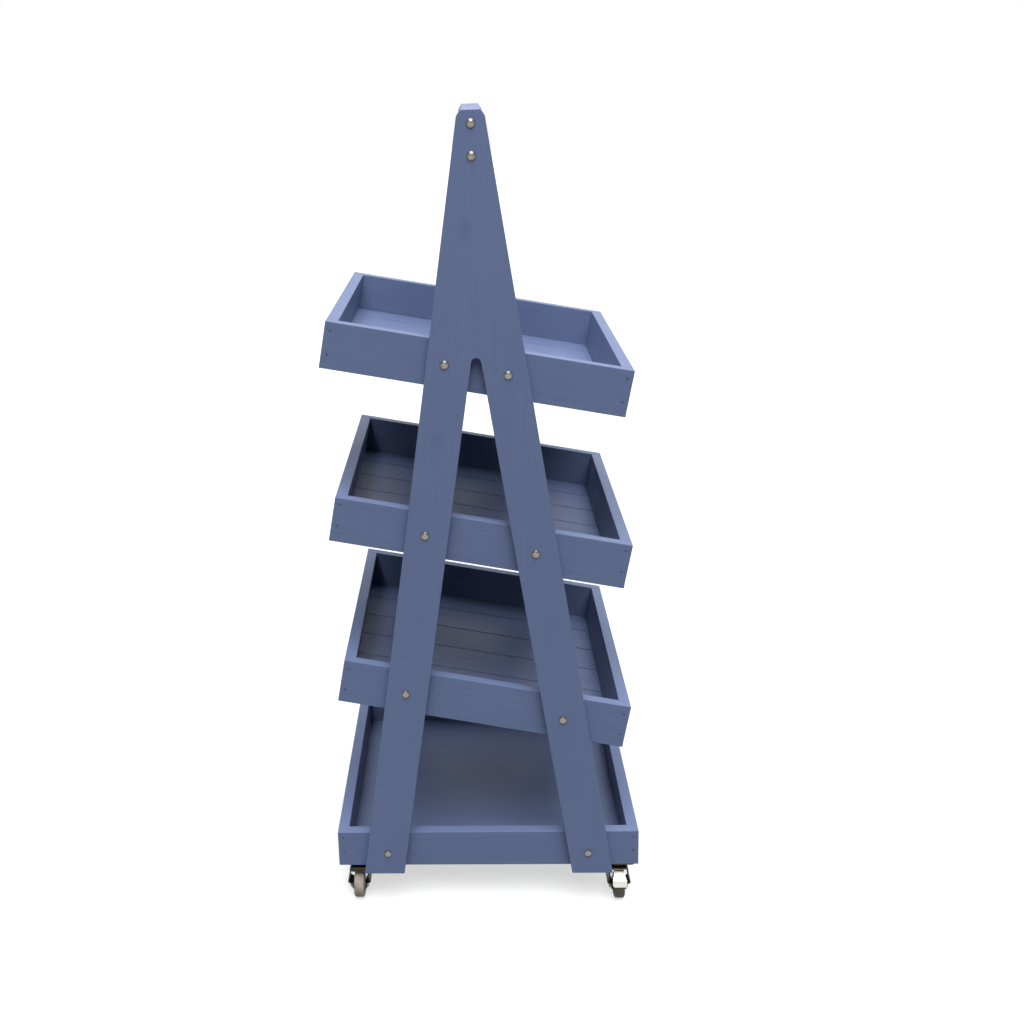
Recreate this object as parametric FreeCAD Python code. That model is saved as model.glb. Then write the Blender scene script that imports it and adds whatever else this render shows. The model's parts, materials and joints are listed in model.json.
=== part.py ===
import FreeCAD, Part
import math
import os
from FreeCAD import Placement, Rotation, Vector

# A four-tier flower cart. Two A-shaped side panels stand front (-Y) and back (+Y), tied by a
# crossbar. Three shallow trays hang between them, tipped towards the customer at +X, over a
# level base tray on four swivel casters. The two casters at +X have foot brakes.
# +Z is up, and the origin is on the floor under the middle of the cart. Sizes are in mm.

# ------------------------------------------------------------------ trays
tray_length = 600.0          # along Y, over the outsides of the end boards
tray_width = 560.0           # the three tipped trays, over the side boards
board_thickness = 22.0
tray_board_height = 77.0
tray_tilt = 11.0             # degrees, low side at +X
tray_line_drop = 41.0        # the bolts' line, below the top edge of an end board
lowest_tray_rise = 285.0     # from the base tray's top edge to the lowest tray's bolt line
tray_spacing = 331.7
plank_count = 6
plank_thickness = 10.0
plank_gap = 1.4

# ------------------------------------------------------------------ base tray
base_width = 600.0
base_board_height = 69.0
base_floor_thickness = 6.0

# ------------------------------------------------------------------ side panels and crossbar
panel_thickness = 18.0
panel_height = 1481.0
panel_overhang = 8.0         # how far the feet reach below the base tray
foot_spread = 495.0          # over the outsides of the two feet
leg_width = 80.0             # level width of each leg
shoulder_width = 49.0        # where the chamfers of the tip begin
tip_width = 35.0
tip_chamfer_drop = 10.5
slot_radius = 9.0            # round top of the gap between the legs
crossbar_width = 42.0
crossbar_height = 100.0
crossbar_chamfer = 5.0

# ------------------------------------------------------------------ frame bolts, domed and square necked
bolt_radius = 3.0
bolt_length = 50.0
bolt_head_radius = 8.25
bolt_head_height = 3.6
bolt_head_rim = 0.6
bolt_neck_side = 6.0
bolt_neck_length = 4.0
bolt_hole_clearance = 0.3
thread_clearance = 0.05
neck_clearance = 0.1
tray_bolt_reach = (150.0, 102.0, 56.5)   # bolts left and right of centre, lowest tray first
base_bolt_reach = 198.5
base_bolt_drop = 37.0
washer_radius = 9.0
washer_thickness = 1.6
nut_across_flats = 10.0
nut_height = 5.0
crossbar_bolt_length = 60.0
crossbar_bolt_margin = 23.0  # from the crossbar's top and bottom edges
barrel_nut_radius = 5.0
barrel_nut_length = 16.0
barrel_nut_setback = 30.0    # from the crossbar's end

# ------------------------------------------------------------------ nails through the end boards
nail_radius = 1.25
nail_head_radius = 2.3
nail_head_height = 1.6
nail_length = 46.0
nail_set_depth = 1.0         # heads are punched below the surface
nail_clearance = 0.05
tray_nail_drops = ((18.0, 61.0), (13.0, 56.0), (17.0, 61.0))   # below the top edge, lowest first
base_nail_drops = (13.0, 43.0)

# ------------------------------------------------------------------ casters
caster_height = 78.0
caster_side_inset = 38.0     # swivel axis from the base tray's side
caster_end_inset = 36.0      # swivel axis from the base tray's end
braked_end_inset = 31.5      # the same, for the casters with brakes
plate_side = 62.0
plate_corner_radius = 7.0
sheet = 2.5                  # thickness of the pressed steel
plate_hole_spacing = 46.0
plate_screw_radius = 2.2
plate_screw_head_radius = 4.4
plate_screw_head_height = 2.4
plate_screw_length = 24.0
plate_bolt_length = 14.0     # the inner fastener, through the thin floor only
plate_nut_across_flats = 8.0
plate_nut_height = 4.0
screw_clearance = 0.1
pan_radius = 20.0            # mouth of the dish pressed into the plate
pan_depth = 5.0
pan_taper = 3.5
race_radius = 13.0
ball_radius = 2.4
ball_count = 10
ball_clearance = 0.15
race_gap = 3.4               # from the dish down to the fork's race ring
kingpin_radius = 4.0
kingpin_head_radius = 8.0
kingpin_head_height = 2.6
kingpin_flange_radius = 9.0
kingpin_flange_height = 2.6
running_clearance = 0.06
swivel_play = 0.3
ring_height = 2.1            # race ring, above the fork's crown
ring_radius = 19.0
ring_taper = 1.5
fork_half_width = 19.0       # outside of the legs at the crown
fork_swell = 24.0            # outside of the legs where they bow out, above the axle
fork_axle_half = 14.5        # outside of the legs at the axle
swell_rise = 9.0             # of the widest level above the axle
swell_bend_radius = 3.0
fork_bend_radius = 4.0
crown_back = 20.0
crown_front = 26.0
crown_skirt = 5.0
boss_radius = 9.0            # rounded end of each leg
boss_ring_radius = 6.5
boss_ring_height = 0.6
trail = 24.0                 # axle behind the swivel axis
wheel_diameter = 50.0
tread_width = 21.0
tyre_shoulder = 5.0
rim_radius = 17.5
rim_width = 16.0
rim_thickness = 3.5
web_thickness = 5.0
hub_radius = 7.0
hub_play = 0.5
axle_radius = 3.0
axle_head_height = 3.0
axle_nut_height = 3.5
axle_across_flats = 9.0
axle_flat_room = 0.4         # from the head and the nut up to the bend in the leg

# ------------------------------------------------------------------ foot brakes
pedal_neck_width = 20.0
pedal_width = 28.0           # across the toe
pedal_sheet = 2.0
pedal_pivot_back = 8.0       # pivot pin, behind the swivel axis on the wheel's side
pedal_pivot_drop = 22.0      # pivot pin, below the plate
brake_pin_radius = 2.5
pedal_barrel_radius = 4.4
pedal_neck_reach = 31.0      # where the pedal comes out under the crown
pedal_neck_drop = 19.0
pedal_toe_reach = 50.0
pedal_toe_drop = 27.0
pedal_lip_reach = 52.0
pedal_lip_height = 13.0
pedal_corner_radius = 5.0
shoe_reach = 29.0
shoe_length = 9.0
shoe_gap = 2.0               # from the tyre with the brake off
shoe_width = 18.0

# ------------------------------------------------------------------ worked out from the sizes above
half_length = tray_length / 2
panel_face = half_length + panel_thickness
base_bottom = caster_height
base_top = base_bottom + base_floor_thickness + base_board_height
foot_level = base_bottom - panel_overhang
panel_top = foot_level + panel_height
crown_drop = sheet + pan_depth + race_gap + ring_height     # crown's top, below the plate's top
axle_drop = caster_height - wheel_diameter / 2
leg_inside = fork_axle_half - sheet
tray_lines = [base_top + lowest_tray_rise + level * tray_spacing for level in range(3)]
tray_names = ("lower", "middle", "top")
tilt_slope = math.tan(math.radians(tray_tilt))
X, Y, Z = Vector(1, 0, 0), Vector(0, 1, 0), Vector(0, 0, 1)


# ------------------------------------------------------------------ small helpers
def block(x_span, y_span, z_span):
    size = [high - low for low, high in (x_span, y_span, z_span)]
    return Part.makeBox(*size, Vector(x_span[0], y_span[0], z_span[0]))


def rod(start, direction, radius, length):
    return Part.makeCylinder(radius, length, Vector(*start), direction)


def fused(shapes):
    return shapes[0].multiFuse(shapes[1:]).removeSplitter() if len(shapes) > 1 else shapes[0]


def cut_all(shape, tools):
    return shape.cut(tools) if tools else shape


def xz_prism(points, y_low, y_high):
    """A flat outline given as (x, z) points, drawn out along Y."""
    corners = [Vector(x, y_low, z) for x, z in points]
    face = Part.Face(Part.makePolygon(corners + corners[:1]))
    return face.extrude(Vector(0, y_high - y_low, 0))


def yz_prism(edges, x_low, x_high):
    """A closed outline of edges in the plane X = 0, drawn out along X."""
    face = Part.Face(Part.Wire(edges))
    face.translate(Vector(x_low, 0, 0))
    return face.extrude(Vector(x_high - x_low, 0, 0))


def turned(points, axis):
    """A closed outline of (radius, height) points turned about an axis through the origin."""
    place = (lambda r, h: Vector(r, 0, h)) if axis is Z else (lambda r, h: Vector(h, r, 0))
    corners = [place(*point) for point in points]
    face = Part.Face(Part.makePolygon(corners + corners[:1]))
    return face.revolve(Vector(0, 0, 0), axis, 360)


def hexagon(across_flats, height, bore):
    """A nut or a bolt's head standing on the origin along Z; a bore of 0 leaves it solid."""
    reach = across_flats / math.sqrt(3)
    corners = [Vector(reach * math.cos(math.radians(60 * k)), reach * math.sin(math.radians(60 * k)), 0)
               for k in range(6)]
    body = Part.Face(Part.makePolygon(corners + corners[:1])).extrude(Vector(0, 0, height))
    return body.cut(rod((0, 0, 0), Z, bore, height)) if bore else body


def moved(shape, position, rotation=Rotation()):
    copy = shape.copy()
    copy.Placement = Placement(Vector(*position), rotation).multiply(copy.Placement)
    return copy


def tangent_point(outside, centre, radius, side):
    """Where the tangent from a point outside a circle touches it; side is +1 or -1."""
    dy, dz = outside[0] - centre[0], outside[1] - centre[1]
    turn = side * math.acos(radius / math.hypot(dy, dz))
    angle = math.atan2(dz, dy) + turn
    return centre[0] + radius * math.cos(angle), centre[1] + radius * math.sin(angle)


nodes = {}


def add(name, shapes):
    nodes[name] = shapes if isinstance(shapes, list) else [shapes]


# ------------------------------------------------------------------ where the bolts go
def tray_bolt_points(level):
    reach = tray_bolt_reach[level]
    return [(side * reach, tray_lines[level] - side * reach * tilt_slope) for side in (-1, 1)]


def base_bolt_points():
    return [(side * base_bolt_reach, base_top - base_bolt_drop) for side in (-1, 1)]


def frame_bolt_points():
    return base_bolt_points() + [point for level in range(3) for point in tray_bolt_points(level)]


def crossbar_bolt_points():
    drops = (crossbar_bolt_margin, crossbar_height - crossbar_bolt_margin)
    return [(0.0, panel_top - drop) for drop in drops]


def bolt_holes(points):
    """Round holes right through the cart along Y, one for each bolt point."""
    radius = bolt_radius + bolt_hole_clearance
    start = -panel_face - bolt_head_height
    return [rod((x, start, z), Y, radius, -2 * start) for x, z in points]


# ------------------------------------------------------------------ side panels and crossbar
def leg_outline_half_width(z):
    """Half of the panel's outside width at a height, between the feet and the shoulders."""
    shoulder_level = panel_top - tip_chamfer_drop
    share = (z - foot_level) / (shoulder_level - foot_level)
    return foot_spread / 2 + share * (shoulder_width - foot_spread) / 2


def side_panel(end):
    """The A-shaped panel at the front (end -1) or back (end +1)."""
    inner, outer = sorted((end * half_length, end * panel_face))
    shoulder_level = panel_top - tip_chamfer_drop
    right = [(foot_spread / 2, foot_level), (shoulder_width / 2, shoulder_level), (tip_width / 2, panel_top)]
    outline = right + [(-x, z) for x, z in reversed(right)]
    panel = xz_prism(outline, inner, outer)

    slope = (foot_spread - shoulder_width) / 2 / (shoulder_level - foot_level)
    lean = math.atan(slope)
    meeting = shoulder_level - (leg_width - shoulder_width / 2) / slope
    centre = meeting - slot_radius / math.sin(lean)
    touch_x, touch_z = slot_radius * math.cos(lean), centre + slot_radius * math.sin(lean)
    below = foot_level - slot_radius
    foot_x = leg_outline_half_width(below) - leg_width
    start, left_touch = Vector(-foot_x, inner, below), Vector(-touch_x, inner, touch_z)
    right_touch, finish = Vector(touch_x, inner, touch_z), Vector(foot_x, inner, below)
    crown = Vector(0, inner, centre + slot_radius)
    edges = [Part.makeLine(start, left_touch), Part.Arc(left_touch, crown, right_touch).toShape(),
             Part.makeLine(right_touch, finish), Part.makeLine(finish, start)]
    gap = Part.Face(Part.Wire(edges)).extrude(Vector(0, outer - inner, 0))

    points = frame_bolt_points() + crossbar_bolt_points()
    half = bolt_neck_side / 2 + neck_clearance
    pocket_y = sorted((end * panel_face, end * (panel_face - bolt_neck_length - neck_clearance)))
    pockets = [block((x - half, x + half), pocket_y, (z - half, z + half)) for x, z in points]
    return cut_all(panel, [gap] + bolt_holes(points) + pockets)


def crossbar():
    low, high, half = panel_top - crossbar_height, panel_top, crossbar_width / 2
    outline = [(half, low), (half, high - crossbar_chamfer), (half - crossbar_chamfer, high),
               (crossbar_chamfer - half, high), (-half, high - crossbar_chamfer), (-half, low)]
    bar = xz_prism(outline, -half_length, half_length)
    depth = crossbar_bolt_length - panel_thickness + bolt_hole_clearance
    tools = []
    for x, z in crossbar_bolt_points():
        for end in (-1, 1):
            tools.append(rod((x, end * half_length, z), Y * -end, bolt_radius + bolt_hole_clearance, depth))
            hole_length = half + barrel_nut_length / 2
            tools.append(rod((-half, end * (half_length - barrel_nut_setback), z), X,
                             barrel_nut_radius + thread_clearance, hole_length))
    return cut_all(bar, tools)


# ------------------------------------------------------------------ nails
def nail(end):
    """A nail with its head towards the front (end -1) or back (end +1), point inwards."""
    shank = rod((0, 0, 0), Y * -end, nail_radius, nail_length)
    head = rod((0, 0, 0), Y * -end, nail_head_radius, nail_head_height)
    return fused([head, shank])


def nail_places(width, top, drops):
    x = (width - board_thickness) / 2
    depth = half_length - nail_set_depth
    return [(end, (side * x, end * depth, top - drop)) for end in (-1, 1) for side in (-1, 1) for drop in drops]


def nail_hole(end, place):
    x, y, z = place
    head_depth = nail_set_depth + nail_head_height
    shank = rod(place, Y * -end, nail_radius + nail_clearance, nail_length + nail_clearance)
    head = rod((x, end * half_length, z), Y * -end, nail_head_radius + nail_clearance, head_depth)
    return fused([head, shank])


# ------------------------------------------------------------------ trays
def tray_frame(width, top, height, drops):
    """Four boards standing level, their top edges at one height, and the nails at the corners."""
    half, bottom = width / 2, top - height
    inner_end, inner_side = half_length - board_thickness, half - board_thickness
    places = nail_places(width, top, drops)
    holes = [nail_hole(end, place) for end, place in places]
    boards = {
        "front": block((-half, half), (-half_length, -inner_end), (bottom, top)),
        "back": block((-half, half), (inner_end, half_length), (bottom, top)),
        "left": block((-half, -inner_side), (-inner_end, inner_end), (bottom, top)),
        "right": block((inner_side, half), (-inner_end, inner_end), (bottom, top)),
    }
    boards = {name: cut_all(board, holes) for name, board in boards.items()}
    return boards, [moved(nail(end), place) for end, place in places]


def tipped_tray(level):
    """One display tray, made level about its bolt line and then tipped towards +X."""
    top = tray_line_drop
    boards, nails = tray_frame(tray_width, top, tray_board_height, tray_nail_drops[level])
    floor_top = top - tray_board_height
    pitch = tray_length / plank_count
    planks = []
    for k in range(plank_count):
        low, high = -half_length + k * pitch, -half_length + (k + 1) * pitch
        low += plank_gap / 2 if k > 0 else 0
        high -= plank_gap / 2 if k < plank_count - 1 else 0
        planks.append(block((-tray_width / 2, tray_width / 2), (low, high),
                            (floor_top - plank_thickness, floor_top)))
    tip = Rotation(Y, tray_tilt)
    centre = (0, 0, tray_lines[level])
    holes = bolt_holes(tray_bolt_points(level))
    prefix = tray_names[level] + "_tray_"
    sides = {"front": "front_board", "back": "back_board", "left": "uphill_board", "right": "downhill_board"}
    for side, name in sides.items():
        board = moved(boards[side], centre, tip)
        add(prefix + name, cut_all(board, holes) if side in ("front", "back") else board)
    add(prefix + "planks", [moved(plank, centre, tip) for plank in planks])
    add(prefix + "nails", [moved(piece, centre, tip) for piece in nails])


def caster_places():
    """Name, position of the swivel axis and turn of each caster; all the wheels trail outwards."""
    x = base_width / 2 - caster_side_inset
    y, braked_y = half_length - caster_end_inset, half_length - braked_end_inset
    return [("front_left", (-x, -y, caster_height), 0), ("front_right", (x, -braked_y, caster_height), 0),
            ("back_left", (-x, y, caster_height), 180), ("back_right", (x, braked_y, caster_height), 180)]


def plate_fastener_places():
    """Screws and bolts of the casters' plates: (x, y, True for the inner one of each plate)."""
    half = plate_hole_spacing / 2
    places = []
    for _, (x, y, _), _ in caster_places():
        for dx in (-half, half):
            for dy in (-half, half):
                inner = dx * x < 0 and dy * y < 0
                places.append((x + dx, y + dy, inner))
    return places


def base_tray():
    boards, nails = tray_frame(base_width, base_top, base_board_height, base_nail_drops)
    screw_hole = plate_screw_radius + screw_clearance
    screw_top = plate_screw_length - sheet + screw_clearance
    screws = [rod((x, y, base_bottom), Z, screw_hole, screw_top) for x, y, _ in plate_fastener_places()]
    holes = bolt_holes(base_bolt_points())
    for side, board in boards.items():
        tools = screws + (holes if side in ("front", "back") else [])
        add("base_" + side + "_board", cut_all(board, tools))
    half = base_width / 2
    floor = block((-half, half), (-half_length, half_length), (base_bottom, base_bottom + base_floor_thickness))
    add("base_floor_panel", cut_all(floor, screws))
    add("base_nails", nails)


# ------------------------------------------------------------------ bolts, washers and nuts
def dome_bolt(length, end):
    """A domed bolt with a square neck, its head outside a panel at the front (-1) or back (+1)."""
    cap = bolt_head_height - bolt_head_rim
    sphere = (bolt_head_radius ** 2 + cap ** 2) / (2 * cap)
    spread = math.asin(bolt_head_radius / sphere)
    middle = Vector(sphere * math.sin(spread / 2), 0, bolt_head_rim + sphere * (math.cos(spread / 2) - 1) + cap)
    rim, tip = Vector(bolt_head_radius, 0, bolt_head_rim), Vector(0, 0, bolt_head_height)
    foot, centre = Vector(bolt_head_radius, 0, 0), Vector(0, 0, 0)
    edges = [Part.makeLine(centre, foot), Part.makeLine(foot, rim), Part.Arc(rim, middle, tip).toShape(),
             Part.makeLine(tip, centre)]
    head = Part.Face(Part.Wire(edges)).revolve(centre, Z, 360)
    half = bolt_neck_side / 2
    neck = block((-half, half), (-half, half), (-bolt_neck_length, 0))
    shank = rod((0, 0, -length), Z, bolt_radius, length)
    return moved(fused([head, neck, shank]), (0, 0, 0), Rotation(X, -90 * end))


def frame_fasteners():
    bolts, washers, nuts = [], [], []
    seat = half_length - board_thickness
    ring = rod((0, 0, 0), Z, washer_radius, washer_thickness)
    ring = ring.cut(rod((0, 0, 0), Z, bolt_radius + bolt_hole_clearance, washer_thickness))
    nut = hexagon(nut_across_flats, nut_height, bolt_radius + thread_clearance)
    for end in (-1, 1):
        inward = Rotation(X, 90 * end)
        for x, z in frame_bolt_points():
            bolts.append(moved(dome_bolt(bolt_length, end), (x, end * panel_face, z)))
            washers.append(moved(ring, (x, end * seat, z), inward))
            nuts.append(moved(nut, (x, end * (seat - washer_thickness), z), inward))
    add("frame_bolts", bolts)
    add("frame_washers", washers)
    add("frame_nuts", nuts)


def crossbar_fasteners():
    bolts, barrels = [], []
    for end in (-1, 1):
        y = end * (half_length - barrel_nut_setback)
        for x, z in crossbar_bolt_points():
            bolts.append(moved(dome_bolt(crossbar_bolt_length, end), (x, end * panel_face, z)))
            barrel = rod((x - barrel_nut_length / 2, y, z), X, barrel_nut_radius, barrel_nut_length)
            thread = rod((x, y - barrel_nut_radius, z), Y, bolt_radius + thread_clearance, 2 * barrel_nut_radius)
            barrels.append(barrel.cut(thread))
    add("crossbar_bolts", bolts)
    add("crossbar_barrel_nuts", barrels)


# ------------------------------------------------------------------ casters, about the swivel axis, plate's top at 0
def race(clearance):
    """The space that the ring of balls runs in."""
    centre = -sheet - pan_depth - race_gap / 2
    return Part.makeTorus(race_radius, ball_radius + clearance, Vector(0, 0, centre), Z)


def cone(low_radius, high_radius, low, high):
    return turned([(0, low), (low_radius, low), (high_radius, high), (0, high)], Z)


def caster_plate():
    half, hole = plate_side / 2, plate_hole_spacing / 2
    plate = block((-half, half), (-half, half), (-sheet, 0))
    corners = [edge for edge in plate.Edges if abs(edge.tangentAt(edge.FirstParameter).z) > 0.9]
    plate = plate.makeFillet(plate_corner_radius, corners)
    floor = -sheet - pan_depth
    slant = sheet * math.tan(math.radians(30))
    dish = cone(pan_radius - pan_taper + slant, pan_radius + slant, floor, -sheet)
    hollow = cone(pan_radius - pan_taper, pan_radius, -pan_depth, 0)
    holes = [rod((x, y, -sheet), Z, plate_screw_radius + screw_clearance, sheet)
             for x in (-hole, hole) for y in (-hole, hole)]
    pin_hole = rod((0, 0, floor), Z, kingpin_radius, sheet + pan_depth)
    return cut_all(fused([plate, dish]), [hollow, pin_hole, race(ball_clearance)] + holes)


def race_balls():
    centre = -sheet - pan_depth - race_gap / 2
    angles = [math.radians(360 * k / ball_count) for k in range(ball_count)]
    return [Part.makeSphere(ball_radius, Vector(race_radius * math.cos(a), race_radius * math.sin(a), centre))
            for a in angles]


def kingpin():
    """The rivet that the fork turns on: its head lies in the dish and its flange under the crown."""
    head = rod((0, 0, -pan_depth), Z, kingpin_head_radius, kingpin_head_height)
    flange_top = -crown_drop - swivel_play + ring_height - sheet
    flange_low = flange_top - kingpin_flange_height
    flange = rod((0, 0, flange_low), Z, kingpin_flange_radius, kingpin_flange_height)
    shank = rod((0, 0, flange_low), Z, kingpin_radius, -pan_depth - flange_low)
    return fused([head, flange, shank])


def inset_line(points, distance):
    """An open line of (x, z) points moved sideways, to the right of its direction, with sharp corners."""
    sides = []
    for (x, z), (next_x, next_z) in zip(points, points[1:]):
        run = math.hypot(next_x - x, next_z - z)
        sides.append(((next_z - z) / run, (x - next_x) / run))
    moved_points = []
    for (x, z), before, after in zip(points, sides[:1] + sides, sides + sides[-1:]):
        share = distance / (1 + before[0] * after[0] + before[1] * after[1])
        moved_points.append((x + share * (before[0] + after[0]), z + share * (before[1] + after[1])))
    return moved_points


def fork():
    """A pressed fork: a crown bent down into two legs that bow out over the axle."""
    swell = -axle_drop + swell_rise
    knee = -crown_drop - 3 * fork_bend_radius
    bend = -axle_drop + axle_across_flats / 2 + axle_flat_room
    outside = [(0, -crown_drop), (fork_half_width, -crown_drop), (fork_half_width, knee), (fork_swell, swell),
               (fork_axle_half, bend), (fork_axle_half, -axle_drop - boss_radius)]
    reach = trail + boss_radius
    shell, hollow = [xz_prism(line[1:] + [(-x, z) for x, z in reversed(line[1:])], -reach, crown_back)
                     for line in (outside, inset_line(outside, sheet))]
    for level, half, radius in ((-crown_drop, fork_half_width, fork_bend_radius),
                                (swell, fork_swell, swell_bend_radius)):
        bends = [edge for edge in shell.Edges if edge.Length > crown_back
                 and all(abs(vertex.Z - level) + abs(abs(vertex.X) - half) < 1e-6 for vertex in edge.Vertexes)]
        shell = shell.makeFillet(radius, bends)
    shell = shell.cut(hollow)

    axle = (-trail, -axle_drop)
    back_top, back_low = (crown_back, 0.0), (crown_back, -crown_drop - crown_skirt)
    front_top, front_low = (-crown_front, 0.0), (-crown_front, -crown_drop - crown_skirt)
    back_touch = tangent_point(back_low, axle, boss_radius, -1)
    front_touch = tangent_point(front_low, axle, boss_radius, 1)
    corners = [front_touch, front_low, front_top, back_top, back_low, back_touch]
    corners = [Vector(0, y, z) for y, z in corners]
    edges = [Part.makeLine(a, b) for a, b in zip(corners, corners[1:])]
    lowest = Vector(0, axle[0], axle[1] - boss_radius)
    edges.append(Part.Arc(corners[-1], lowest, corners[0]).toShape())
    side_view = yz_prism(edges, -fork_swell, fork_swell)
    body = shell.common(side_view)

    crown_top = -crown_drop
    ring = cone(ring_radius, ring_radius - ring_taper, crown_top, crown_top + ring_height)
    hollow = cone(ring_radius - sheet, ring_radius - sheet - ring_taper,
                  crown_top - sheet, crown_top + ring_height - sheet)
    pin_hole = rod((0, 0, crown_top - sheet), Z, kingpin_radius + running_clearance, sheet + ring_height)
    rings = [rod((side * fork_axle_half, *axle), X * side, boss_ring_radius, boss_ring_height)
             for side in (-1, 1)]
    span = fork_axle_half + boss_ring_height
    axle_hole = rod((-span, *axle), X, axle_radius + thread_clearance, 2 * span)
    return cut_all(fused([body, ring] + rings), [hollow, pin_hole, axle_hole, race(2 * ball_clearance)])


def wheel():
    """The plastic centre: hub, web and rim turned about the axle."""
    hub, rim, web = leg_inside - hub_play, rim_width / 2, web_thickness / 2
    bore, rim_inside = axle_radius + running_clearance, rim_radius - rim_thickness
    half = [(bore, hub), (hub_radius, hub), (hub_radius + 1, web), (rim_inside - 1, web), (rim_inside, rim),
            (rim_radius, rim)]
    outline = half + [(r, -x) for r, x in reversed(half)]
    return moved(turned(outline, X), (0, -trail, -axle_drop))


def tyre():
    """The rubber tread, with rounded shoulders."""
    half, outer = tread_width / 2, wheel_diameter / 2
    rim, shoulder = rim_width / 2, tyre_shoulder
    flank = (rim_radius + outer - shoulder) / 2
    turn = shoulder * (1 - math.sqrt(0.5))
    right = [Vector(rim, rim_radius, 0), Vector(half, flank, 0),
             Vector(half, outer - shoulder, 0), Vector(half - shoulder, outer, 0)]
    bend = Vector(half - turn, outer - turn, 0)
    mirror = [Vector(-p.x, p.y, 0) for p in right]
    edges = [Part.makeLine(right[0], right[1]), Part.makeLine(right[1], right[2]),
             Part.Arc(right[2], bend, right[3]).toShape(), Part.makeLine(right[3], mirror[3]),
             Part.Arc(mirror[3], Vector(-bend.x, bend.y, 0), mirror[2]).toShape(),
             Part.makeLine(mirror[2], mirror[1]), Part.makeLine(mirror[1], mirror[0]),
             Part.makeLine(mirror[0], right[0])]
    ring = Part.Face(Part.Wire(edges)).revolve(Vector(0, 0, 0), X, 360)
    return moved(ring, (0, -trail, -axle_drop))


def axle():
    """The axle bolt, with its head outside one leg and its nut outside the other."""
    seat, flat_up = fork_axle_half + boss_ring_height, Rotation(Z, 30)
    head = moved(hexagon(axle_across_flats, axle_head_height, 0), (seat, 0, 0), Rotation(Y, 90) * flat_up)
    nut = hexagon(axle_across_flats, axle_nut_height, axle_radius + thread_clearance)
    nut = moved(nut, (-seat, 0, 0), Rotation(Y, -90) * flat_up)
    shank_end = seat + axle_nut_height + 1
    bolt = fused([head, rod((-shank_end, 0, 0), X, axle_radius, shank_end + seat)])
    return [moved(piece, (0, -trail, -axle_drop)) for piece in (bolt, nut)]


def brake_pin():
    reach = fork_half_width + boss_ring_height
    return rod((-reach, -pedal_pivot_back, -pedal_pivot_drop), X, brake_pin_radius, 2 * reach)


def brake_pedal():
    """A pressed pedal on a barrel that turns on the pin, with the shoe that presses on the tyre."""
    half = pedal_width / 2
    pivot = (-pedal_pivot_back, -pedal_pivot_drop)
    barrel_half = fork_half_width - sheet - hub_play
    barrel = rod((-barrel_half, *pivot), X, pedal_barrel_radius, 2 * barrel_half)
    neck, toe = (-pedal_neck_reach, -pedal_neck_drop), (-pedal_toe_reach, -pedal_toe_drop)
    tail = (-pedal_pivot_back, -pedal_pivot_drop + pedal_barrel_radius - pedal_sheet / 3)
    upper = [tail, neck, toe, (-pedal_lip_reach, toe[1] - pedal_lip_height)]
    lower = [(upper[3][0] + pedal_sheet, upper[3][1]), (toe[0] + pedal_sheet, toe[1] - pedal_sheet),
             (neck[0], neck[1] - pedal_sheet), (tail[0], tail[1] - pedal_sheet)]
    corners = [Vector(0, y, z) for y, z in upper + lower]
    edges = [Part.makeLine(a, b) for a, b in zip(corners, corners[1:] + corners[:1])]
    tread = yz_prism(edges, -half, half)
    lip_corners = [edge for edge in tread.Edges if edge.Length < half
                   and all(vertex.Z < toe[1] - pedal_lip_height + 0.5 for vertex in edge.Vertexes)]
    tread = tread.makeFillet(pedal_corner_radius, lip_corners)
    neck_half, past = pedal_neck_width / 2, -pedal_lip_reach - pedal_sheet
    plan = [(neck_half, 0), (neck_half, neck[0]), (half, toe[0]), (half, past)]
    plan = [Vector(x, y, -axle_drop) for x, y in plan + [(-x, y) for x, y in reversed(plan)]]
    tread = tread.common(Part.Face(Part.makePolygon(plan + plan[:1])).extrude(Vector(0, 0, axle_drop)))

    wheel_space = rod((-half, -trail, -axle_drop), X, wheel_diameter / 2 + shoe_gap, pedal_width)
    shoe = block((-shoe_width / 2, shoe_width / 2), (-shoe_reach - shoe_length / 2, -shoe_reach + shoe_length / 2),
                 (-axle_drop, -pedal_neck_drop - 0.7 * pedal_sheet)).cut(wheel_space)
    hole = rod((-barrel_half, *pivot), X, brake_pin_radius + running_clearance, 2 * barrel_half)
    return fused([barrel, tread, shoe]).cut(hole)


def brake_pin_hole(body):
    reach = fork_half_width + boss_ring_height
    return body.cut(rod((-reach, -pedal_pivot_back, -pedal_pivot_drop), X, brake_pin_radius, 2 * reach))


def casters():
    balls, pins = [], []
    plain_fork, plate = fork(), caster_plate()
    braked_fork = brake_pin_hole(plain_fork)
    for name, position, turn in caster_places():
        place = (position, Rotation(Z, turn))
        braked = name.endswith("right")
        add(name + "_caster_plate", moved(plate, *place))
        add(name + "_caster_fork", moved(braked_fork if braked else plain_fork, *place))
        add(name + "_caster_wheel", moved(wheel(), *place))
        add(name + "_caster_tyre", moved(tyre(), *place))
        add(name + "_caster_axle", [moved(piece, *place) for piece in axle()])
        balls += [moved(ball, *place) for ball in race_balls()]
        pins.append(moved(kingpin(), *place))
        if braked:
            add(name + "_brake_pedal", moved(brake_pedal(), *place))
            add(name + "_brake_pin", moved(brake_pin(), *place))
    add("caster_race_balls", balls)
    add("caster_kingpins", pins)


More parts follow.
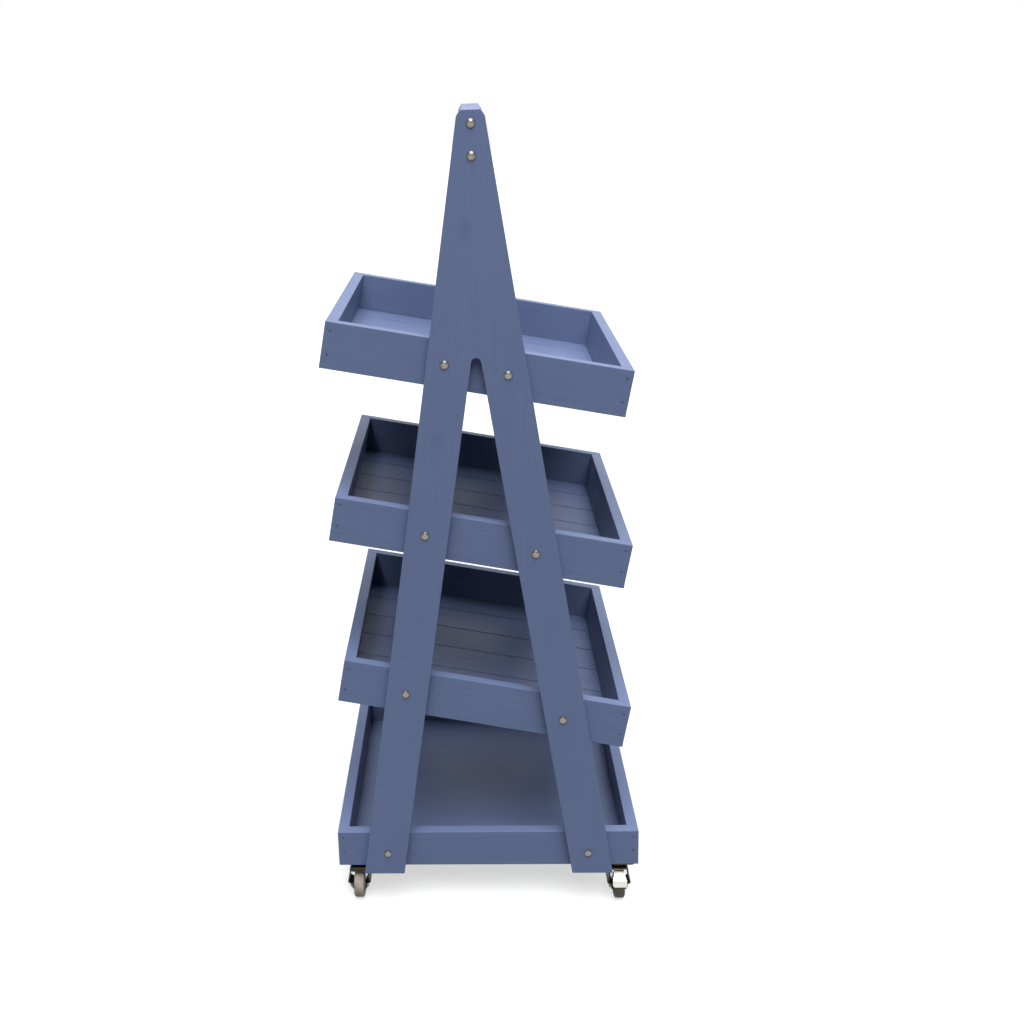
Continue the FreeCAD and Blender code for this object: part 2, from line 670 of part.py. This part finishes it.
def plate_fasteners():
    """Wood screws up into the boards, and a short bolt where a plate has only the floor above it."""
    fasteners, nuts = [], []
    under = base_bottom - sheet
    for x, y, inner in plate_fastener_places():
        length = plate_bolt_length if inner else plate_screw_length
        head = turned([(0, -plate_screw_head_height), (plate_screw_head_radius / 2, -plate_screw_head_height),
                       (plate_screw_head_radius, -plate_screw_head_height / 3), (plate_screw_head_radius, 0),
                       (0, 0)], Z)
        shank = rod((0, 0, 0), Z, plate_screw_radius, length)
        fasteners.append(moved(fused([head, shank]), (x, y, under)))
        if inner:
            nut = hexagon(plate_nut_across_flats, plate_nut_height, plate_screw_radius + thread_clearance)
            nuts.append(moved(nut, (x, y, base_bottom + base_floor_thickness)))
    add("caster_plate_screws", fasteners)
    add("caster_plate_nuts", nuts)


# ------------------------------------------------------------------ build and save
add("front_side_panel", side_panel(-1))
add("back_side_panel", side_panel(1))
add("crossbar", crossbar())
for tray_level in range(3):
    tipped_tray(tray_level)
base_tray()
frame_fasteners()
crossbar_fasteners()
casters()
plate_fasteners()

os.makedirs("parts", exist_ok=True)
for node_name, solids in nodes.items():
    shape = solids[0] if len(solids) == 1 else Part.makeCompound(solids)
    shape.exportStep("parts/" + node_name + ".step")
print(len(nodes), "nodes,", sum(len(shape.Solids) for solids in nodes.values() for shape in solids), "solids")
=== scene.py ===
import json
import math

import bmesh
import bpy
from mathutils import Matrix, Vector


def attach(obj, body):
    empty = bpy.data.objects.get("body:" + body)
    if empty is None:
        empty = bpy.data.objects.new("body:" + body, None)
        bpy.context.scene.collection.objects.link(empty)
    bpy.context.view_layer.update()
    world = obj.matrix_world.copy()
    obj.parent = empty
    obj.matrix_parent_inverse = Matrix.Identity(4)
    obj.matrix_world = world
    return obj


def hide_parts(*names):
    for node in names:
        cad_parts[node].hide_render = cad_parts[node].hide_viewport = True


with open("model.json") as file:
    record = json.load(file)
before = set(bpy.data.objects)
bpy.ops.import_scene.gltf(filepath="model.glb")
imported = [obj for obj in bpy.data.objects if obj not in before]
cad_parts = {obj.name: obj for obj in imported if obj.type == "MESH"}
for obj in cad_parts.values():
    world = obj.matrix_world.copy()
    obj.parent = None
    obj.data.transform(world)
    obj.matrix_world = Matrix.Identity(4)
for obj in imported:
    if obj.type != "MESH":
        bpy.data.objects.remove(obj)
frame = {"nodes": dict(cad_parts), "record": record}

# A painted flower cart: eased softwood boards and planks, plated bolts, and four swivel casters.
# Lengths are in metres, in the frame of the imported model: +Z up, the customer's side at +X, and
# the front side panel at -Y.

nodes = frame["nodes"]
body_of = {name: body
           for body, names in frame["record"]["behaviour"]["bodies"].items() for name in names}
slot_of = {part["node"]: part["material_slot"] for part in frame["record"]["subparts"]}
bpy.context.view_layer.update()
scene = bpy.context.scene
bpy.ops.object.select_all(action="DESELECT")

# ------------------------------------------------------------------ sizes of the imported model
TRAY_TILT = math.radians(11)
TRAY_LINES = {"lower": 0.438, "middle": 0.7697, "top": 1.1014}     # heights of the trays' bolt lines
PANEL_FACE = 0.318           # outside of each side panel, from the middle of the cart
PLANK_PITCH = 0.100
PLANK_JOINTS = range(-2, 3)  # five joints between six planks, the middle one at Y = 0

CASTER_X, SWIVEL_Y, BRAKED_Y = 0.262, 0.264, 0.2685
CROWN_LEVEL = 0.0644         # just below the top of a fork's crown
CROWN_REACH, CROWN_HALF = 0.026, 0.0168

# ------------------------------------------------------------------ what the scene adds to it
GAP_SETBACK = 0.0008         # of each plank's edge at a joint
JOINT_REACH = 0.002          # an edge this near to a joint's middle is one of its two edges

PANEL_EASE, PLANK_EASE = 0.0010, 0.0004
BOARD_EASE, BOARD_UNDER_EASE = 0.0013, 0.0004
ARRIS_LENGTH, ARRIS_ANGLE = 0.012, math.radians(40)
SLIVER_WIDTH = 0.0008        # faces narrower than this lie between two holes, and are no side of an arris
MERGE_REACH, FLAT_ANGLE = 1e-5, math.radians(1)
WOOD_SMOOTH_ANGLE, LIP_SMOOTH_ANGLE = math.radians(35), math.radians(40)

LIP_DROPS = {"left": 0.0105, "right": 0.0038}
LIP_THICKNESS, LIP_LEAN, LIP_ARCH, LIP_COLUMNS = 0.002, 0.0012, 0.22, 12
RIM_EASE = 0.0008
SAME_PLACE = 1e-4

# ------------------------------------------------------------------ grain sizes, in features to the metre
GRAIN_SCALE, FIBRE_SCALE, GRAIN_STRETCH = 120.0, 620.0, 22.0
CLOUD_SCALE, STIPPLE_SCALE = 5.5, 900.0
BLOOM_SCALE, POLISH_SCALE, WEAR_SCALE = 90.0, 1400.0, 260.0
SCUFF_SCALE, GRIT_SCALE = 70.0, 1100.0
NOISE_LOW, NOISE_HIGH = 0.3, 0.7             # nearly all of a noise's values lie between these


# ------------------------------------------------------------------ node trees
def feed(tree, socket, value):
    """Links a socket to another one, or sets its value."""
    if isinstance(value, bpy.types.NodeSocket):
        tree.links.new(value, socket)
    else:
        socket.default_value = value


def add_node(tree, kind, inputs=None, **settings):
    made = tree.nodes.new("ShaderNode" + kind)
    for key, value in settings.items():
        setattr(made, key, value)
    for key, value in (inputs or {}).items():
        feed(tree, made.inputs[key], value)
    return made


def camera_sees(tree, seen, lit):
    """Mixes two shaders: one for what the camera and reflections see, one for the light that falls."""
    path = add_node(tree, "LightPath")
    seen_by = path.outputs["Is Camera Ray"]
    for other in ("Is Glossy Ray", "Is Transmission Ray"):
        either = {0: seen_by, 1: path.outputs[other]}
        seen_by = add_node(tree, "Math", either, operation="MAXIMUM").outputs[0]
    return add_node(tree, "MixShader", {0: seen_by, 1: lit, 2: seen}).outputs[0]


class Finish:
    """One material and the nodes that make it up."""

    def __init__(self, name):
        self.material = bpy.data.materials.new(name)
        self.material.use_nodes = True
        self.tree = self.material.node_tree
        self.shader = self.tree.nodes["Principled BSDF"]

    def node(self, kind, inputs=None, **settings):
        return add_node(self.tree, kind, inputs, **settings)

    def place(self, turn=(0, 0, 0), centre=(0, 0, 0), stretch=(1, 1, 1)):
        """Places on the piece, measured from a centre along turned and stretched axes."""
        coords = self.node("TexCoord")
        inputs = {"Vector": coords.outputs["Object"], "Location": centre, "Rotation": turn, "Scale": stretch}
        return self.node("Mapping", inputs, vector_type="TEXTURE").outputs["Vector"]

    def noise(self, vector, scale, detail, roughness, distortion=0.0):
        inputs = {"Vector": vector, "Scale": scale, "Detail": detail, "Roughness": roughness,
                  "Distortion": distortion}
        return self.node("TexNoise", inputs).outputs["Fac"]

    def span(self, value, low=NOISE_LOW, high=NOISE_HIGH, to_low=0.0, to_high=1.0):
        """Takes the stretch from low to high to the one from to_low to to_high, and stops at its ends."""
        inputs = {"Value": value, "From Min": low, "From Max": high, "To Min": to_low, "To Max": to_high}
        return self.node("MapRange", inputs).outputs["Result"]

    def math(self, operation, a, b=0.0):
        return self.node("Math", {0: a, 1: b}, operation=operation).outputs[0]

    def mix(self, share, a, b):
        """Colour a, with the given share of colour b."""
        return self.node("Mix", {0: share, 6: a, 7: b}, data_type="RGBA").outputs[2]

    def bump(self, height, strength, depth, under=None):
        inputs = {"Height": height, "Strength": strength, "Distance": depth}
        if under is not None:
            inputs["Normal"] = under
        return self.node("Bump", inputs).outputs["Normal"]

    def set(self, **inputs):
        for key, value in inputs.items():
            feed(self.tree, self.shader.inputs[key.replace("_", " ")], value)
        return self.material


def shade(colour, factor):
    """A colour made lighter or darker, with its alpha."""
    return tuple(min(1.0, channel * factor) for channel in colour) + (1.0,)


# ------------------------------------------------------------------ finishes
def knot(finish, colours, dark, x, z, size):
    """A knot under the paint: faint dark rings, longer along the grain, running through the panel."""
    length, through = 1.7, 1e6
    half_waves, heart, strength = 5.5, 0.15, 0.30
    spot = finish.place(centre=(x, 0, z), stretch=(1, through, length))
    away = finish.node("VectorMath", {0: spot}, operation="LENGTH").outputs["Value"]
    ring = finish.math("SINE", finish.math("MULTIPLY", away, half_waves / size * math.pi))
    near = finish.span(away, low=size * heart, high=size, to_low=strength, to_high=0.0)
    mark = finish.math("MULTIPLY", near, finish.span(ring, low=-1.0, high=1.0, to_low=0.55))
    return finish.mix(mark, colours, dark)


def paint(name, colour, along, turn=(0, 0, 0), centre=(0, 0, 0), knots=(), grain_share=1.0):
    """Matte paint rolled over wood whose grain runs along one axis and shows through a little."""
    finish = Finish(name)
    plain = finish.place(turn, centre)
    stretch = [1.0, 1.0, 1.0]
    stretch["XYZ".index(along)] = GRAIN_STRETCH
    lengthwise = finish.place(turn, centre, stretch)
    grain = finish.noise(lengthwise, GRAIN_SCALE, detail=5.0, roughness=0.6, distortion=0.4)
    fibres = finish.noise(lengthwise, FIBRE_SCALE, detail=2.0, roughness=0.5)
    cloud = finish.noise(plain, CLOUD_SCALE, detail=3.0, roughness=0.55)
    stipple = finish.noise(plain, STIPPLE_SCALE, detail=2.0, roughness=0.6)

    swing = 0.34 * grain_share
    tone = finish.span(grain, low=0.34, high=0.66, to_low=0.5 - swing, to_high=0.5 + swing)
    tone = finish.math("ADD", tone, finish.span(cloud, to_low=-0.16, to_high=0.16))
    colours = finish.mix(tone, shade(colour, 0.93), shade(colour, 1.07))
    for x, z, size in knots:
        colours = knot(finish, colours, shade(colour, 0.50), x, z, size)

    relief = finish.bump(grain, 0.16 * grain_share, depth=0.0006)
    relief = finish.bump(fibres, 0.08 * grain_share, depth=0.0003, under=relief)
    relief = finish.bump(stipple, 0.10, depth=0.00025, under=relief)
    dullness = finish.span(cloud, to_low=0.36, to_high=0.48)
    return finish.set(Base_Color=colours, Roughness=dullness, Normal=relief, Specular_IOR_Level=0.13)


def plated(name, colour, dullness, stain, stain_share=0.35):
    """Plated steel with a slightly uneven bloom."""
    finish = Finish(name)
    spot = finish.place()
    bloom = finish.noise(spot, BLOOM_SCALE, detail=4.0, roughness=0.6)
    fine = finish.noise(spot, POLISH_SCALE, detail=2.0, roughness=0.5)
    share = finish.span(bloom, low=0.42, high=0.72, to_high=stain_share)
    colours = finish.mix(share, shade(colour, 1.0), shade(stain, 1.0))
    rough = finish.span(bloom, to_low=dullness, to_high=dullness + 0.14)
    relief = finish.bump(fine, 0.06, depth=0.0002)
    return finish.set(Base_Color=colours, Metallic=1.0, Roughness=rough, Normal=relief)


def bolt_head(name, crown, rim):
    """Plated domes on the faces of the side panels, with painted shade darkening each head towards its rim.
    """
    rim_height, unshaded_height = 0.0005, 0.0030
    finish = Finish(name)
    spot = finish.place()
    parts = finish.node("SeparateXYZ", {0: spot})
    out = finish.math("ABSOLUTE", parts.outputs[1])
    worn = finish.noise(spot, WEAR_SCALE, detail=3.0, roughness=0.6)
    # Painted shade: within the last few millimetres above the panel, each head turns from its crown colour to
    # a near-black one.
    share = finish.span(out, low=PANEL_FACE + rim_height, high=PANEL_FACE + unshaded_height)
    share = finish.math("MULTIPLY", share, finish.span(worn, to_low=0.72))
    fine = finish.noise(spot, POLISH_SCALE, detail=2.0, roughness=0.5)
    colours = finish.mix(share, shade(rim, 1.0), shade(crown, 1.0))
    relief = finish.bump(fine, 0.05, depth=0.0002)
    return finish.set(Base_Color=colours, Metallic=1.0, Roughness=0.21, Normal=relief)


def moulded(name, colour, worn, dullness, grit):
    """Moulded plastic or rubber, scuffed paler in places."""
    finish = Finish(name)
    spot = finish.place()
    scuff = finish.noise(spot, SCUFF_SCALE, detail=5.0, roughness=0.65)
    fine = finish.noise(spot, GRIT_SCALE, detail=3.0, roughness=0.6)
    share = finish.span(scuff, low=0.40, high=0.68)
    colours = finish.mix(share, shade(colour, 1.0), shade(worn, 1.0))
    rough = finish.span(fine, to_low=dullness, to_high=dullness + 0.15)
    return finish.set(Base_Color=colours, Roughness=rough, Normal=finish.bump(fine, grit, depth=0.0004))


SLATE = (0.098, 0.130, 0.235)
PANEL_KNOTS = ((-0.012, 1.348, 0.016), (-0.075, 0.973, 0.014), (0.195, 0.748, 0.013))   # x, z and size
finishes = {
    "panel": paint("slate_paint_on_panel", SLATE, "Z", grain_share=0.45, knots=PANEL_KNOTS),
    "along_x": paint("slate_paint_along_x", SLATE, "X", grain_share=0.8),
    "along_y": paint("slate_paint_along_y", SLATE, "Y", grain_share=0.8),
    # The nail heads sit in punched holes; their colour is a darker copy of the slate paint, painted shade for
    # those holes.
    "nail": moulded("nail_holes_painted_shade", (0.040, 0.055, 0.105), (0.06, 0.08, 0.15), 0.5, 0.1),
    # The second colour is painted shade round each bolt head's rim.
    "bolt": bolt_head("zinc_bolt_heads_with_painted_rim_shade", (0.27, 0.265, 0.24), (0.030, 0.029, 0.025)),
    "nut": plated("zinc_nuts", (0.30, 0.295, 0.26), 0.28, (0.18, 0.175, 0.15)),
    # The forks' zinc is made nearly black: painted shade and painted dark reflection from under the cart, on
    # plating as bright as the pedals'.
    "caster": plated("zinc_painted_dark_for_shade", (0.046, 0.046, 0.031), 0.32, (0.024, 0.021, 0.012), 0.6),
    "pin": plated("pin_zinc", (0.16, 0.155, 0.12), 0.25, (0.09, 0.08, 0.05)),
    # A pale zinc on the rims of the crowns' bent edges: a painted highlight on steel as dark as the rest of
    # the fork.
    "rim": plated("crown_edge_painted_highlight", (0.42, 0.42, 0.31), 0.22, (0.20, 0.19, 0.12), 0.3),
    "brake": plated("pedal_zinc", (0.64, 0.635, 0.59), 0.27, (0.48, 0.46, 0.40)),
    "wheel": moulded("grey_wheel_plastic", (0.16, 0.15, 0.13), (0.26, 0.25, 0.22), 0.42, 0.12),
    "tyre": moulded("worn_grey_tread", (0.17, 0.15, 0.12), (0.30, 0.27, 0.23), 0.62, 0.35),
    # The braked casters' treads are the same grey rubber, painted near-black for the shade under their brake
    # pedals.
    "painted_shade_tyre": moulded("tread_painted_with_pedal_shade", (0.030, 0.025, 0.016), (0.055, 0.046, 0.032), 0.55, 0.35),
}
for tray, line in TRAY_LINES.items():
    place = {"turn": (0, TRAY_TILT, 0), "centre": (0, 0, line)}
    finishes[tray + "_x"] = paint("slate_paint_%s_tray" % tray, SLATE, "X", grain_share=0.8, **place)
    finishes[tray + "_planks"] = paint("slate_paint_%s_planks" % tray, SLATE, "X", grain_share=1.5, **place)

by_slot = {"nail_steel": "nail", "bolt_steel": "bolt", "caster_steel": "caster", "pin_steel": "pin",
           "brake_steel": "brake", "wheel_plastic": "wheel", "tyre_rubber": "tyre", "panel_paint": "panel"}


def finish_for(name):
    """The finish of a piece, by its name and by what the record says it is made of."""
    # Painted shade: the braked casters' tyres take a dark copy of the tread, for the shade under their
    # pedals.
    if name.endswith("right_caster_tyre"):
        return finishes["painted_shade_tyre"]
    if name.endswith(("_washers", "_nuts")):
        return finishes["nut"]
    if slot_of[name] in by_slot:
        return finishes[by_slot[slot_of[name]]]
    tray = name.split("_")[0]
    if name.endswith("_planks"):
        return finishes[tray + "_planks"]
    if name.endswith(("uphill_board", "downhill_board", "left_board", "right_board")):
        return finishes["along_y"]
    return finishes[tray + "_x"] if tray in TRAY_LINES else finishes["along_x"]


def dress(piece, material):
    """Gives a piece one material, in place of all that it has."""
    piece.data.materials.clear()
    piece.data.materials.append(material)


# ------------------------------------------------------------------ copies and selections
def copy_of(piece, name):
    """A copy of a piece, with its own mesh."""
    twin = bpy.data.objects.new(name, piece.data.copy())
    scene.collection.objects.link(twin)
    return twin


def edit(piece):
    bpy.ops.object.select_all(action="DESELECT")
    piece.select_set(True)
    bpy.context.view_layer.objects.active = piece
    bpy.ops.object.mode_set(mode="EDIT")


def select_where(piece, kind, chosen):
    """Selects those corners or edges of a piece in edit mode that meet a condition."""
    bpy.ops.mesh.select_mode(type=kind)
    bpy.ops.mesh.select_all(action="DESELECT")
    mesh = bmesh.from_edit_mesh(piece.data)
    for part in (mesh.verts if kind == "VERT" else mesh.edges):
        part.select_set(chosen(part))
    bmesh.update_edit_mesh(piece.data)


# ------------------------------------------------------------------ wooden pieces with eased edges
def widen_gaps(piece):
    """Sets the planks' neighbouring edges back a little, so that their joints show as dark lines."""
    for vertex in piece.data.vertices:
        for joint in PLANK_JOINTS:
            away = vertex.co.y - joint * PLANK_PITCH
            if abs(away) < JOINT_REACH:
                vertex.co.y += math.copysign(GAP_SETBACK, away)


def is_arris(edge):
    """A long, real corner of a board, not the side of a sliver left between two holes."""
    length = edge.calc_length()
    if len(edge.link_faces) != 2 or length < ARRIS_LENGTH or edge.calc_face_angle() < ARRIS_ANGLE:
        return False
    return min(face.calc_area() for face in edge.link_faces) > SLIVER_WIDTH * length


def eased(name, upper, lower):
    """A copy of a sawn piece with its arrises rounded over, by one width above and another below."""
    piece = copy_of(nodes[name], "eased_" + name)
    if name.endswith("_planks"):
        widen_gaps(piece)
    edit(piece)
    bpy.ops.mesh.customdata_custom_splitnormals_clear()
    bpy.ops.mesh.select_all(action="SELECT")
    bpy.ops.mesh.remove_doubles(threshold=MERGE_REACH)
    bpy.ops.mesh.dissolve_limited(angle_limit=FLAT_ANGLE)
    slope = math.tan(TRAY_TILT) if name.split("_")[0] in TRAY_LINES else 0.0
    levels = [vertex.co.z + vertex.co.x * slope for vertex in bmesh.from_edit_mesh(piece.data).verts]
    middle = (min(levels) + max(levels)) / 2

    def is_upper(edge):
        centre = (edge.verts[0].co + edge.verts[1].co) / 2
        return centre.z + centre.x * slope > middle

    for width, segments, above in ((upper, 3, True), (lower, 2, False)):
        select_where(piece, "EDGE", lambda edge: is_arris(edge) and is_upper(edge) == above)
        bpy.ops.mesh.bevel(offset=width, segments=segments, affect="EDGES")
    bpy.ops.object.mode_set(mode="OBJECT")
    bpy.ops.object.shade_smooth_by_angle(angle=WOOD_SMOOTH_ANGLE)
    flatten = piece.modifiers.new("flat_faces", "WEIGHTED_NORMAL")
    flatten.keep_sharp = True
    bpy.ops.object.modifier_apply(modifier="flat_faces")
    dress(piece, finish_for(name))
    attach(piece, body_of[name])
    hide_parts(name)


for node_name in nodes:
    if node_name.endswith("_side_panel") or node_name == "crossbar":
        eased(node_name, PANEL_EASE, PANEL_EASE)
    elif node_name.endswith(("_planks", "_floor_panel")):
        eased(node_name, PLANK_EASE, PLANK_EASE)
    elif node_name.endswith("_board"):
        eased(node_name, BOARD_EASE, BOARD_UNDER_EASE)
    else:
        dress(nodes[node_name], finish_for(node_name))


# ------------------------------------------------------------------ bent edge in front of each fork's crown
def crown_lip(x, y, drop):
    """The front edge of a crown, bent down over the wheel: lowest in the middle, its rim painted pale as a
    highlight.
    """
    bpy.ops.object.select_all(action="DESELECT")
    bpy.ops.mesh.primitive_cube_add(size=1, scale=(2 * CROWN_HALF, LIP_THICKNESS, drop),
                                    location=(x, y - CROWN_REACH + LIP_THICKNESS / 2, CROWN_LEVEL - drop / 2))
    lip = bpy.context.object
    bpy.ops.object.transform_apply(location=True, rotation=False, scale=True)
    edit(lip)
    select_where(lip, "EDGE", lambda edge: edge.calc_length() > CROWN_HALF)
    bpy.ops.mesh.subdivide(number_cuts=LIP_COLUMNS - 1)

    def is_low(vertex):
        return vertex.co.z < CROWN_LEVEL - drop / 2

    def is_rim(edge):
        return all(map(is_low, edge.verts)) and abs(edge.verts[0].co.x - edge.verts[1].co.x) > SAME_PLACE

    for column in range(LIP_COLUMNS + 1):
        away = 2 * column / LIP_COLUMNS - 1
        place = x + away * CROWN_HALF
        select_where(lip, "VERT", lambda vertex: is_low(vertex) and abs(vertex.co.x - place) < SAME_PLACE)
        bpy.ops.transform.translate(value=(0, 0, drop * LIP_ARCH * away * away))
    select_where(lip, "VERT", is_low)
    bpy.ops.transform.translate(value=(0, -LIP_LEAN, 0))
    select_where(lip, "EDGE", is_rim)
    bpy.ops.mesh.bevel(offset=RIM_EASE, segments=2, affect="EDGES")
    bpy.ops.object.mode_set(mode="OBJECT")
    bpy.ops.object.shade_smooth_by_angle(angle=LIP_SMOOTH_ANGLE)
    # The bent edge takes the forks' zinc, painted nearly black for shade.
    dress(lip, finishes["caster"])
    # The rim's faces take the pale zinc, a painted highlight along the bent edge.
    lip.data.materials.append(finishes["rim"])
    for face in lip.data.polygons:
        away = (face.center.x - x) / CROWN_HALF
        if face.center.z < CROWN_LEVEL - drop * (1 - LIP_ARCH * away * away) + RIM_EASE:
            face.material_index = 1
    return lip


for side, x, y in (("left", -CASTER_X, -SWIVEL_Y), ("right", CASTER_X, -BRAKED_Y)):
    front_lip = crown_lip(x, y, LIP_DROPS[side])
    back_lip = copy_of(front_lip, "back_lip")
    edit(back_lip)
    bpy.ops.mesh.select_all(action="SELECT")
    bpy.ops.transform.rotate(value=math.pi, orient_axis="Z", center_override=(x, 0, 0))
    bpy.ops.object.mode_set(mode="OBJECT")
    for end, lip in (("front", front_lip), ("back", back_lip)):
        lip.name = "%s_%s_caster_crown_edge" % (end, side)
        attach(lip, body_of["%s_%s_caster_fork" % (end, side)])


# ------------------------------------------------------------------ background: high light, white all round
SKY_STRENGTH = 1.55
SKY_LOW, SKY_HIGH = 0.30, 0.95               # sines of the heights where it begins and is full
FRONT_SHARE, BACK_SHARE, SHARE_REACH = 0.90, 1.10, 0.6

world = bpy.data.worlds.new("studio")
scene.world = world
world.use_nodes = True
sky = world.node_tree
sky.nodes.clear()

# The light comes from high up, a little more of it from behind than from the front.
direction = add_node(sky, "SeparateXYZ", {0: add_node(sky, "TexCoord").outputs["Generated"]})
height = add_node(sky, "MapRange", {"Value": direction.outputs[2], "From Min": SKY_LOW, "From Max": SKY_HIGH,
                                    "To Min": 0.0, "To Max": SKY_STRENGTH}, interpolation_type="SMOOTHSTEP")
behind = add_node(sky, "MapRange", {"Value": direction.outputs[1], "From Min": -SHARE_REACH,
                                    "From Max": SHARE_REACH, "To Min": FRONT_SHARE, "To Max": BACK_SHARE})
level = add_node(sky, "Math", {0: height.outputs["Result"], 1: behind.outputs["Result"]},
                 operation="MULTIPLY")
glow = add_node(sky, "Background", {"Color": (0.98, 0.99, 1.0, 1), "Strength": level.outputs[0]})
white = add_node(sky, "Background", {"Color": (1, 1, 1, 1), "Strength": 1.0})
output = add_node(sky, "OutputWorld")
sky.links.new(camera_sees(sky, white.outputs[0], glow.outputs[0]), output.inputs["Surface"])

# ------------------------------------------------------------------ floor, with the cart's shadow on it
FLOOR_SIDE = 60
FLOOR_PALE, FLOOR_RETURN = 0.82, 0.15        # how much light it shows, and how much it throws back
FLOOR_GLOW_SHARE = 0.62

bpy.ops.mesh.primitive_plane_add(size=FLOOR_SIDE, location=(0, 0, 0))
ground = bpy.context.object
ground.name = "pale_floor"
floor_finish = Finish("pale_floor")
floor_finish.set(Base_Color=shade((1, 1, 1), FLOOR_PALE), Roughness=0.8, Specular_IOR_Level=0.0)
matt = floor_finish.node("BsdfDiffuse", {"Color": shade((1, 1, 1), FLOOR_RETURN)})
bright = floor_finish.node("Emission", {"Color": (1, 1, 1, 1), "Strength": 1.0})
pale = {0: FLOOR_GLOW_SHARE, 1: floor_finish.shader.outputs[0], 2: bright.outputs[0]}
pale = floor_finish.node("MixShader", pale).outputs[0]
floor_seen = camera_sees(floor_finish.tree, pale, matt.outputs[0])
floor_finish.tree.links.new(floor_seen, floor_finish.tree.nodes["Material Output"].inputs["Surface"])
dress(ground, floor_finish.material)


# ------------------------------------------------------------------ lamps
def soft_sun(name, azimuth, elevation, strength, spread):
    """Even light from one part of the sky, the same at the top of the cart as at its foot."""
    data = bpy.data.lights.new(name, "SUN")
    data.energy, data.angle = strength, math.radians(spread)
    sun = bpy.data.objects.new(name, data)
    turn, rise = math.radians(azimuth), math.radians(elevation)
    towards = Vector((math.cos(rise) * math.cos(turn), math.cos(rise) * math.sin(turn), math.sin(rise)))
    sun.rotation_euler = towards.to_track_quat("Z", "Y").to_euler()
    scene.collection.objects.link(sun)


def round_lamp(name, place, tilt, turn, across, watts):
    """A lamp that faces down, tilted up by the first angle and turned by the second."""
    bpy.ops.object.light_add(type="AREA", location=place,
                             rotation=(math.radians(tilt), 0, math.radians(turn)))
    lamp = bpy.context.object
    lamp.name = name
    lamp.data.shape, lamp.data.size, lamp.data.energy = "DISK", across, watts


soft_sun("high_front_light", azimuth=-82, elevation=62, strength=3.75, spread=46)
soft_sun("high_back_light", azimuth=60, elevation=50, strength=1.0, spread=60)

# A wide lamp above the cart lifts the inside of the top tray.
round_lamp("over_top_tray", (0.05, -0.50, 2.50), tilt=8, turn=0, across=0.9, watts=11.0)

# A small lamp near the camera leaves a bright point on each bolt's head.
round_lamp("small_front_lamp", (-0.35, -2.9, 1.25), tilt=76, turn=-7, across=0.22, watts=2.0)

# ------------------------------------------------------------------ camera at the photograph's viewpoint
PICTURE = 1024                               # the photograph's side, in pixels
FOCAL, CENTRE = 1238.60, (405.0, 430.0)      # in the same pixels
SENSOR = 36.0                                # in millimetres, as Blender has it
EYE = (-0.00285, -2.47062, 1.59308)
EYE_TURN = (74.4728, 2.2028, 2.7975)         # in degrees, about X, Y and Z

camera = bpy.data.objects.new("camera", bpy.data.cameras.new("camera"))
scene.collection.objects.link(camera)
scene.camera = camera
camera.data.sensor_width = SENSOR
camera.data.lens = FOCAL * SENSOR / PICTURE
camera.data.shift_x = (PICTURE / 2 - CENTRE[0]) / PICTURE
camera.data.shift_y = (CENTRE[1] - PICTURE / 2) / PICTURE
camera.location = EYE
camera.rotation_euler = [math.radians(angle) for angle in EYE_TURN]
scene.view_settings.view_transform = "Standard"
